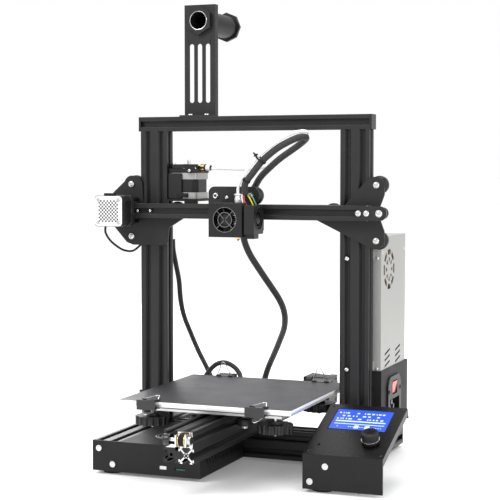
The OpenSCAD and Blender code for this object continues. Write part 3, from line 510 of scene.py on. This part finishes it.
def cords():
    """The five cords, with the head harness's ties and the coloured wires at its end."""
    ties = [tie((12, -48.2, 384), (0.45, -0.1, 0.89), 4.6, "harness_tie_1", "carriage", False),
            tie((33.1, -50.6, 411.7), (0.66, 0, 0.75), 7.2, "harness_tie_2", "carriage")]
    paths = {"wire_red": [(8, -46, 368), (10, -52, 360), (15, -56, 352), (20, -54, 350)],
             "wire_yellow": [(10, -44, 368), (15, -46, 362), (20, -50, 356), (23, -50, 350)],
             "white": [(6, -47, 368), (7, -52, 362), (9, -54, 356), (9, -52, 352)],
             "wire_green": [(11, -43, 368), (18, -42, 362), (22, -44, 356), (25, -44, 350)]}
    for mat, path in paths.items():
        Shape().sweep(spline(path, 5), 0.9, 8).make(
            "head_wire_" + mat.replace("wire_", ""), mat, "carriage", "braided_sleeve")
    upper = cord("head_harness_upper", HARNESS[:GANTRY_SPLIT + 1], 0.009, "braid",
                 "head_harness")
    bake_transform(upper)
    lower = cord("head_harness_lower", HARNESS[GANTRY_SPLIT:], 0.009, "braid", None)
    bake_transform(lower)
    tube = cord("guide_tube", BOWDEN, 0.004, "tube", "bowden_tube")
    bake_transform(tube)
    motor = cord("motor_harness_sleeve", MOTOR_ROUTE, 0.007, "braid", "motor_harness")
    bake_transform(motor)
    lead = cord("motor_lead", MOTOR_LEAD, 0.003, "soft_plastic", "x_motor_lead")
    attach(lead, "gantry")
    bed = cord("bed_cable_sleeve", BED_CABLE, 0.007, "braid", "bed_cable")
    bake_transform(bed)


cords()

# ---------- CAD nodes ----------

NODE_MATERIALS = {
    "anodised": ("base_rails", "y_rail", "uprights", "top_beam", "x_beam"),
    "sheet": ("electronics_box", "motor_brackets", "psu_cover", "extruder_body", "head_shroud"),
    "plate": ("gantry_plates", "carriage_plate", "spool_bracket"),
    "gloss_sheet": ("display_housing",),
    "plastic": ("feet_and_caps", "limit_switches", "power_inlet", "control_knob", "bed_knob_1",
                "bed_knob_2", "bed_knob_3", "bed_knob_4", "blower", "head_fan_rotor",
                "extruder_lever", "spool_tube"),
    "board": ("mainboard", "display_module"),
    "power_board": ("psu_core",),
    "psu": ("psu_case",),
    "red": ("power_rocker",),
    "steel": ("encoder_shaft", "frame_screws", "gantry_screws", "x_motor_pulley",
              "x_idler_pulley", "lead_screw", "bed_springs", "y_motor_pulley"),
    "brass": ("extruder_gear", "hot_end", "y_idler_pulley"),
    "rubber": ("y_belt", "x_belt"),
    "wheel": ("z_wheels", "x_wheels", "y_wheels"),
    "bed_plate": ("heated_bed", "y_carriage_plate"),
    "glass_edge": ("build_surface",),
    "clip": ("bed_clips",),
    "lamination": ("frame_motors", "x_motor", "extruder_motor"),
}
BEVELLED = {"anodised": 0.35, "sheet": 0.3, "plate": 0.35, "gloss_sheet": 0.25, "plastic": 0.35,
            "psu": 0.5, "glass_edge": 0.5, "bed_plate": 0.3, "clip": 0.3, "red": 0.5,
            "steel": 0.25, "brass": 0.2, "wheel": 0.3, "rubber": 0.2}


def dress_nodes():
    """Gives each CAD node its material, welds its shared corners and bevels its edges."""
    for mat, names in NODE_MATERIALS.items():
        for n in names:
            o = NODES[n]
            o.data.materials.clear()
            o.data.materials.append(MATS[mat])
            weld = o.modifiers.new("weld", "WELD")
            weld.merge_threshold = 2e-6
            if mat in BEVELLED:
                soften(o, BEVELLED[mat])


def paint(name, material, inside):
    """Gives the faces of a CAD node that pass a test of centre and normal another material."""
    o = NODES[name]
    o.data.materials.append(MATS[material])
    index = len(o.data.materials) - 1
    for f in o.data.polygons:
        p = (o.matrix_world @ f.center) / MM - SHIFT_MM
        if inside(p, o.matrix_world.to_3x3() @ f.normal):
            f.material_index = index


dress_nodes()
paint("x_beam", "cut_end", lambda p, d: abs(d.x) > 0.9 and abs(p.x - 1) > 168.5)
paint("gantry_screws", "plate", lambda p, d: p.x > 150 and -28.2 < p.y < -24.8)
paint("gantry_screws", "brass", lambda p, d: p.x < -130 and p.y > 30)
paint("motor_brackets", "steel", lambda p, d: p.y < -242.9 and -6 < p.x < 21)
paint("motor_brackets", "clip", lambda p, d: p.y < -240.5 and p.x < -5.9 and p.z > 67)
paint("hot_end", "cut_end", lambda p, d: p.z > 322)

# ---------- motors ----------

MOTOR_W = 42.3
MOTOR_LENGTH = 36
MOTOR_BELL = 9
X_MOTOR = (-185, 342)  # X and Z of the carriage motor's shaft
SCREW_AT = (-152, 45)  # X and Y of the lead screw


def motor(name, face, axis, body, stands_for, metal="cast"):
    """A square motor: cast end bells, dark stack, four long screws, boss and shaft."""
    d = Vector(axis)
    f = Vector(face)
    length, bell = MOTOR_LENGTH, MOTOR_BELL
    outline = rounded(MOTOR_W, MOTOR_W, 4.2, 3)
    inner = [(u * 0.985, v * 0.985) for u, v in rounded(MOTOR_W, MOTOR_W, 7, 1)]
    bells = Shape().prism(f - d * bell, axis, outline, bell)
    bells.prism(f - d * length, axis, outline, bell)
    bells.lathe(f, axis, [(0, 0), (11, 0), (11, 1.6), (10.6, 2), (0, 2)])
    piece = bells.make(name + "_bells", metal, body, "motor_black", 0.4)
    Shape().prism(f - d * (length - bell), axis, inner, length - 2 * bell).make(
        name + "_stack", "lamination", body, "motor_black", 0.2)
    rot = facing(d)
    screws = Shape()
    for u, v in ((1, 1), (-1, 1), (-1, -1), (1, -1)):
        screws.rod(f - d * (length + 1.6) + rot @ Vector((15.5 * u, 15.5 * v, 0)), axis, 2.7, 2)
    screws.rod(f + d * 2, axis, 2.5, 16 if name != "x_motor" else 18)
    screws.make(name + "_screws", "steel", body, "bright_steel")
    Shape().box(f - d * (length - 5) + rot @ Vector((-8, -24.5, -3)),
                f - d * (length - 5) + rot @ Vector((8, -20, 3))).make(
        name + "_socket", "soft_plastic", body, "black_plastic", 0.3)
    if stands_for:
        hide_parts(stands_for)


motor("x_motor", (X_MOTOR[0], -26, X_MOTOR[1]), (0, 1, 0), "gantry", "x_motor", "dark_cast")
spacers = Shape()
for a in (45, 135, 225, 315):
    spacers.rod((X_MOTOR[0] + 21.9 * math.cos(math.radians(a)), -26,
                 X_MOTOR[1] + 21.9 * math.sin(math.radians(a))), (0, 1, 0), 3, 21)
spacers.make("x_motor_spacers", "plastic", "gantry", "black_plastic")
motor("feeder_motor", (-104.15, 26.15, 394), (0, 0, 1), "gantry", "extruder_motor")
# Black plate over the left half of the feeder motor's front: partly its black coating, partly painted
# shade on its unlit side.
Shape().prism((-115, 2.2, 376), (0, 1, 0), rounded(20, 35, 2), 2.6).make(
    "feeder_motor_black_and_shade_plate", "plastic", "gantry", "black_plastic", 0.4)
motor("bed_motor", (25, 173.5, 75), (-1, 0, 0), "frame", "frame_motors", "dark_cast")
motor("screw_motor", (*SCREW_AT, 84), (0, 0, 1), "frame", None)


def motor_label():
    """Plain white rounded label on the carriage motor, with a checked grey patch."""
    Shape().prism((X_MOTOR[0], -62, X_MOTOR[1]), (0, -1, 0), rounded(41, 41, 5, 6), 0.8).make(
        "motor_label", "white", "gantry", "motor_black", 0.2)
    marks = Shape()
    cells, pitch, half = 12, 2.5, 1.22
    middle = (cells - 1) / 2
    for i in range(cells):
        for j in range(cells):
            if (i + j) % 2 == 0:
                x, z = X_MOTOR[0] + (i - middle) * pitch, X_MOTOR[1] + (j - middle) * pitch
                marks.box((x - half, -62.95, z - half), (x + half, -62.75, z + half))
    marks.make("motor_label_dots", "grey_mark", "gantry", "motor_black")


motor_label()

# ---------- fasteners ----------


def button(s, p, axis, r, h=2.4):
    """A domed button head with a hexagon recess."""
    k = r * 0.42
    s.lathe(p, axis, [(0, h * 0.45), (k, h * 0.45), (k, h), (r * 0.62, h * 0.97),
                      (r * 0.88, h * 0.68), (r, h * 0.25), (r, 0), (0, 0)], 24)


def screws():
    """Screw heads of the frame, the gantry plates and the carriage."""
    s = Shape()
    for side in (-1, 1):
        button(s, (side * 156, -148, 34.5), (0, -1, 0), 4.3)
        button(s, (side * 136, -148, 14.5), (0, -1, 0), 4.3)
    for z in (133, 281):
        button(s, (136, -0.2, z), (0, -1, 0), 3.1, 1.6)
        button(s, (170.5, 24, z), (0, -1, 0), 2.6, 1.7)
    for x in (-94, -70):
        button(s, (x, 10, 473.5), (0, 0, 1), 3.8, 2.2)
    s.make("frame_screw_heads", "steel", "frame", "bright_steel")
    g = Shape()
    for side in (-1, 1):
        for z in (378.5, 305.5):
            button(g, (side * 177.7, -5, z), (0, -1, 0), 4.6, 3.2)
    for x in (160, 171):
        button(g, (x, -28, 342), (0, -1, 0), 4.2, 2.8)
    button(g, (188, -28, 342), (0, -1, 0), 5, 3)
    for x in (-160, -141):
        button(g, (x, -23.4, 342), (0, -1, 0), 2.2, 1.2)
    g.make("gantry_screw_heads", "steel", "gantry", "bright_steel")
    c = Shape()
    for x, z in ((-39, 363.7), (11, 363.7), (-14, 320.3)):
        button(c, (x, -31, z), (0, -1, 0), 4.6, 3)
    button(c, (-23, -31, 361), (0, -1, 0), 2.8, 2)
    c.make("carriage_screw_heads", "steel", "carriage", "bright_steel")


screws()

# ---------- springs, lead screw, belts ----------


def coil(p, axis, r, length, turns):
    """Centre line of a spring's wire."""
    rot = facing(axis)
    n = int(turns * 16)
    return [Vector(p) + rot @ Vector((r * math.cos(2 * math.pi * turns * i / n),
            r * math.sin(2 * math.pi * turns * i / n), length * i / n)) for i in range(n + 1)]


def springs():
    """The feeder's spring and the four bed springs on their screws."""
    end = (-90, -1, 403.2)
    spring = Shape().sweep(coil(end, (0, 1, 0), 2.3, 8.6, 6), 0.4, 8).make(
        "feeder_spring_coil", "steel", "gantry", "bright_steel", stands_for=("extruder_spring",))
    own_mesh(spring)
    s = Shape()
    for x in (-85, 85):
        for y in (-134, 36):
            s.sweep(coil((x, y, 92), (0, 0, 1), 4.2, 4.6, 3), 0.5, 8)
            s.rod((x, y, 65), (0, 0, 1), 2, 35)
    s.make("bed_spring_coils", "steel", "bed", "bright_steel", stands_for=("bed_springs",))


def lead_screw():
    """Lead screw with its trapezoidal thread, and the clamped coupler under it."""
    s = Shape()
    sides, pitch, step = 20, 2.0, 0.5
    rings = []
    for i in range(int(330 / step) + 1):
        z = 110 + i * step
        ring = []
        for k in range(sides):
            phase = (z / pitch + k / sides) % 1
            depth = min(1, max(0, abs(phase - 0.5) * 4 - 0.5))
            r = 4 - 0.7 * depth
            a = 2 * math.pi * k / sides
            ring.append(s.bm.verts.new(Vector((SCREW_AT[0] + r * math.cos(a),
                                               SCREW_AT[1] + r * math.sin(a), z))))
        rings.append(ring)
    for a, b in zip(rings, rings[1:]):
        for k in range(sides):
            j = (k + 1) % sides
            s.bm.faces.new([a[k], a[j], b[j], b[k]])
    s.bm.faces.new(rings[0][::-1])
    s.bm.faces.new(rings[-1])
    s.make("thread", "steel", "lead_screw", "bright_steel", sharp=80, stands_for=("lead_screw",))
    c = Shape().lathe((*SCREW_AT, 92), (0, 0, 1), [(3, 0), (9, 0), (9.5, 0.5), (9.5, 11.5),
                      (8.9, 12), (8.9, 13), (9.5, 13.5), (9.5, 24.5), (9, 25), (3, 25)], 40)
    for z in (98, 111):
        c.rod((SCREW_AT[0] + 9, SCREW_AT[1], z), (1, 0, 0), 1.9, 1.2)
    c.make("coupler", "cast", "lead_screw", "bright_steel")


springs()
lead_screw()

# ---------- bed ----------


def bed():
    """The film on the plate and four folded spring clips with wire handles."""
    top, under = 103.5, 97.0
    Shape().prism((0, -48.9, top), (0, 0, 1), rounded(234.4, 234.4, 2, 4), 0.35).make(
        "build_film", "film", "bed", "coated_glass", 0.1)
    jaw_at = 5.6  # the handles' pivots, in from the plate's edge
    body = Shape()
    wires = Shape()
    for x, edge, s in ((-75, -166.4, -1), (73, -166.4, -1), (-66, 68.6, 1), (78, 68.6, 1)):
        outline = [(-6, top), (0.3, top), (8.8, top + 1.8), (8.8, under - 1.8), (0.3, under),
                   (-6, under), (-6.4, under - 0.6), (-6, under - 1.2), (0, under - 1.2),
                   (9.4, under - 3.3), (10, under - 2.8), (10, top + 2.8), (9.4, top + 3.3),
                   (0, top + 1.2), (-6, top + 1.2), (-6.4, top + 0.6)]
        low = [body.bm.verts.new((x - 13, edge + s * v, w)) for v, w in outline]
        high = [body.bm.verts.new((x + 13, edge + s * v, w)) for v, w in outline]
        body.bm.faces.new(low)
        body.bm.faces.new(high[::-1])
        for i in range(len(low)):
            j = (i + 1) % len(low)
            body.bm.faces.new([low[i], high[i], high[j], low[j]])
        for up in (1, -1):
            jaw = top + 1.8 if up == 1 else under - 1.8
            for k in (-1, 1):
                body.rod((x + k * 9 - 3.5, edge - s * jaw_at, jaw), (1, 0, 0), 1.3, 7, 12)
            reach = (22 if s < 0 else 5) if up == 1 else -16
            rise = (1.6 if s < 0 else 20) if up == 1 else -7
            loop = [(x + across, edge - s * (jaw_at + reach * out), jaw + rise * up_share)
                    for across, out, up_share in ((-11, 0, 0), (-6, 0.5, 0.5), (-3.6, 0.85, 0.8),
                                                  (0, 1, 1), (3.6, 0.85, 0.8), (6, 0.5, 0.5),
                                                  (11, 0, 0))]
            wires.sweep(spline(loop, 5), 0.65, 8)
    body.make("clip_bodies", "clip", "bed", "clip_steel", 0.2, stands_for=("bed_clips",))
    wires.make("clip_handles", "steel", "bed", "bright_steel")


bed()

# ---------- display ----------

PANEL_RISE, PANEL_RUN = 44.4, 115.0
PANEL_TILT = math.atan(PANEL_RISE / PANEL_RUN)


def panel(x, s, h):
    """A point on the sloping panel: x across, s up the slope, h off it."""
    return Vector((126 + x, -148 + s * math.cos(PANEL_TILT) - h * math.sin(PANEL_TILT),
                   48 + s * math.sin(PANEL_TILT) + h * math.cos(PANEL_TILT)))


def panel_box(shape, lo, hi):
    """A box given by two (x, s, h) corners on the sloping panel."""
    size = Vector(hi) - Vector(lo)
    middle = panel(*((Vector(hi) + Vector(lo)) / 2))
    shape.box(middle - size / 2, middle + size / 2, Matrix.Rotation(PANEL_TILT, 4, "X"))


def display():
    """Blue screen with generic blocks, its surround, the knob's ring and ribs, panel screws."""
    glass = Shape()
    panel_box(glass, (13.6, 63.1, -1.6), (88.4, 111.9, -0.2))
    glass.make("lcd_glass", "lcd", "frame", "display_blue", 0.15)
    marks = Shape()
    rnd = random.Random(7)
    panel_box(marks, (18, 82, -0.2), (84, 84.5, -0.05))
    panel_box(marks, (18, 76, -0.2), (84, 77.5, -0.05))
    for row, s in enumerate((103, 96, 89)):
        x = 18.0
        while x < 80:
            w = rnd.uniform(1.2, 5)
            if rnd.random() < 0.62:
                panel_box(marks, (x, s - 1.4, -0.2), (x + w, s + 1.4, -0.05))
            x += w + rnd.uniform(0.8, 3.4)
    for x in (46, 60):
        panel_box(marks, (x, 67, -0.2), (x + 6, 74, -0.05))
    for x in range(20, 82, 3):
        if rnd.random() < 0.5:
            panel_box(marks, (x, 69.6, -0.2), (x + 1.6, 71, -0.05))
    marks.make("lcd_blocks", "lcd_mark", "frame", "display_blue")
    frame_lip = Shape()
    for lo, hi in (((12.6, 62.2, -1.2), (89.4, 63.4, 0.3)), ((12.6, 111.6, -1.2), (89.4, 112.8, 0.3)),
                   ((12.6, 62.2, -1.2), (13.8, 112.8, 0.3)), ((88.2, 62.2, -1.2), (89.4, 112.8, 0.3))):
        panel_box(frame_lip, lo, hi)
    frame_lip.make("lcd_surround", "soft_plastic", "frame", "black_plastic", 0.15)
    axis = panel(0, 0, 1) - panel(0, 0, 0)
    ring = Shape().lathe(panel(78, 36, 5.4), axis, [(10.7, -0.5), (11.7, -0.4), (11.8, 0), (11.7, 0.4),
                         (10.7, 0.5)], 48, True)
    ring.make("knob_ring", "steel", "knob", "bright_steel")
    ribs = Shape()
    rot = facing(axis)
    for k in range(30):
        a = 2 * math.pi * k / 30
        ribs.rod(panel(78, 36, 6.4) + rot @ Vector((10.5 * math.cos(a), 10.5 * math.sin(a), 0)),
                 axis, 0.45, 8, 6)
    ribs.lathe(panel(78, 36, 15.2), axis, [(0, 0), (8.6, 0), (9.6, -0.3), (10.4, -1), (0, -1)], 40)
    ribs.make("knob_ribs", "plastic", "knob", "black_plastic")
    corners = Shape()
    for x, s in ((5, 8), (98, 8), (5, 118), (98, 118)):
        button(corners, panel(x, s, 0), axis, 1.8, 1)
    corners.make("panel_screws", "clip", "frame", "black_plastic")


display()

# ---------- head ----------


HEAD_FAN = (-9.4, 333)  # X and Z of the head fan's axis


def head_fan_point(radius, degrees, y):
    a = math.radians(degrees)
    return (HEAD_FAN[0] + radius * math.cos(a), y, HEAD_FAN[1] + radius * math.sin(a))


def head():
    """Fan frame, the painted highlight along the grille's rings and spokes, blower wheel and rim, tube
    fittings, nozzle.
    """
    s = Shape().lathe((HEAD_FAN[0], -63, HEAD_FAN[1]), (0, 1, 0),
                      [(16.6, 0), (19.5, 0), (19.5, 9), (16.6, 9)], 40, True)
    s.rod((HEAD_FAN[0], -62.5, HEAD_FAN[1]), (0, 1, 0), 7.6, 8)
    for a in (40, 130, 220, 310):
        s.sweep([head_fan_point(7, a, -57), head_fan_point(18, a, -57)], 1.1, 6)
    s.make("head_fan_frame", "plastic", "carriage", "black_plastic", 0.2)
    # Thin pale rings and spokes in front of the grille: painted highlight on its edges.
    edge = Shape()
    for radius in (9.7, 16.3):
        edge.sweep(circle((HEAD_FAN[0], -72, HEAD_FAN[1]), (0, 1, 0), radius, 48), 0.35, 8, True)
    for a in (45, 135, 225, 315):
        edge.sweep([head_fan_point(1.5, a, -72), head_fan_point(16.3, a, -72)], 0.35, 8)
    edge.make("head_grille_highlight", "highlight_grey", "carriage", "black_sheet")
    wheel = Shape()
    for k in range(22):
        a = 2 * math.pi * k / 22
        wheel.box(Vector((25.5, -52 + 11.4 * math.cos(a) - 0.4, 334 + 11.4 * math.sin(a) - 1.6)),
                  Vector((30.4, -52 + 11.4 * math.cos(a) + 0.4, 334 + 11.4 * math.sin(a) + 1.6)),
                  Matrix.Rotation(a + 0.6, 4, "X"))
    wheel.lathe((29.4, -52, 334), (1, 0, 0), [(9.8, 0), (12.9, 0), (12.9, 0.8), (9.8, 0.8)], 32, True)
    wheel.make("blower_impeller", "soft_plastic", "carriage", "black_plastic", 0.1)
    rim = Shape().lathe((31, -52, 334), (1, 0, 0), [(13.8, -0.6), (15.4, -0.6), (15.4, 0.5), (13.8, 0.5)],
                        40, True)
    rim.make("blower_rim", "plastic", "carriage", "black_plastic", 0.2)
    fit = Shape().lathe((0, -48, 355), (0, 0, 1), [(4.9, 0), (5.4, 0.4), (5.4, 4), (4.9, 4.6), (2.1, 4.6),
                        (2.1, 0)], 6, True)
    fit.make("head_fitting", "steel", "carriage", "pulley_metal", 0.2)
    collet = Shape().lathe((0, -48, 361), (0, 0, 1), [(2.05, 0), (3.8, 0), (3.8, 3.6), (5, 4), (5, 5.6),
                           (2.05, 5.8)], 28, True)
    collet.make("head_collet", "white", "carriage", "clear_tube", 0.2)
    feeder = Shape().lathe((-83, 20.6, 401), (1, 0, 0), [(2.1, 0), (5.6, 0), (5.6, 5), (5.1, 5.8),
                           (4.2, 6), (4.2, 8), (2.1, 8)], 6, True)
    feeder.make("feeder_fitting", "brass", "gantry", "brass", 0.2)
    collet2 = Shape().lathe((-76, 20.6, 401), (1, 0, 0), [(2.1, 0), (3.7, 0), (3.7, 4.6), (4.8, 5),
                            (4.8, 7), (2.1, 7.2)], 28, True)
    collet2.make("feeder_collet", "white", "gantry", "clear_tube", 0.2)
    nozzle = Shape().lathe((0, -48, 304.5), (0, 0, 1), [(0, 0), (0.9, 0), (2.8, 2.4), (3.9, 2.5),
                           (3.9, 5.2), (0, 5.2)], 6)
    nozzle.make("nozzle", "brass", "carriage", "brass", 0.1)


head()

# ---------- feeder, supply, spool holder, front box ----------


def small_parts():
    """Screws, inlet pins, spool rim, the bed rail's cut end, the board fan's guard, the socket."""
    top = Shape()
    button(top, (-104.15, 13.2, 405), (0, 0, 1), 3, 2)
    button(top, (-120, 11, 406), (0, 0, 1), 3.2, 1.8)
    top.make("lever_screws", "steel", "lever", "bright_steel")
    feeder = Shape()
    for x, y in ((-121, 43), (-87.5, 43), (-87.5, 9)):
        button(feeder, (x, y, 400), (0, 0, 1), 2.8, 2.2)
    button(feeder, (-90, -4, 397), (0, -1, 0), 2.4, 1.8)
    feeder.make("feeder_screws", "steel", "gantry", "bright_steel")
    pins = Shape()
    for y, z in ((72, 73), (90, 73), (81, 80)):
        pins.box((164, y - 1, z - 3), (176, y + 1, z + 3))
    pins.make("inlet_pins", "steel", "frame", "bright_steel", 0.2)
    heads = Shape()
    for y in (53.5, 108.5):
        button(heads, (180, y, 97), (1, 0, 0), 3, 1.4)
    heads.make("inlet_screws", "clip", "frame", "black_plastic")
    ring = Shape().sweep(circle((-82, 8.6, 603), (0, 1, 0), 12.4, 40), 0.55, 8, True)
    ring.make("spool_tube_rim", "steel", "frame", "bright_steel")
    end = Shape().box((7.2, -240.3, 51.7), (12.8, -239.9, 57.3))
    for a in (45, 135):
        end.box((10 - 12.8, -240.3, 54.5 - 0.9), (10 + 12.8, -239.9, 54.5 + 0.9),
                Matrix.Rotation(math.radians(a), 4, "Y"))
    for x, z in ((1, 45.5), (19, 45.5), (1, 63.5), (19, 63.5)):
        dx, dz = (10 - x) / 9, (54.5 - z) / 9
        for lo, hi in (((x - dx, z - dz), (x + 4 * dx, z + 0.6 * dz)),
                       ((x - dx, z - dz), (x + 0.6 * dx, z + 4 * dz))):
            end.box((min(lo[0], hi[0]), -240.3, min(lo[1], hi[1])),
                    (max(lo[0], hi[0]), -239.9, max(lo[1], hi[1])))
    end.make("rail_cut_end", "cut_end", "frame", "bright_steel")
    # The wire guard is pale grey with little metal instead of steel: a painted silver reflection, since
    # steel would mirror the dark bed above.
    guard = Shape()
    for radius in (8, 12.5, 17, 20):
        guard.sweep(circle((-78, -92, 45.2), (0, 0, 1), radius, 48), 0.75, 8, True)
    for a in (45, 135):
        c, d = 20 * math.cos(math.radians(a)), 20 * math.sin(math.radians(a))
        guard.sweep([(-78 - c, -92 - d, 45), (-78 + c, -92 + d, 45)], 0.5, 8)
    guard.make("box_fan_guard", "psu", "frame", "bright_steel")
    usb = Shape().box((-69.4, -147.2, 12.6), (-59.6, -140, 17.4))
    usb.make("usb_shell", "steel", "frame", "bright_steel", 0.3)
    case = Shape()
    for z in (288, 112):
        button(case, (176, 30, z), (1, 0, 0), 2.2, 1)
        button(case, (176, 139, z), (1, 0, 0), 2.2, 1)
    case.make("case_screws", "steel", "frame", "bright_steel")


small_parts()
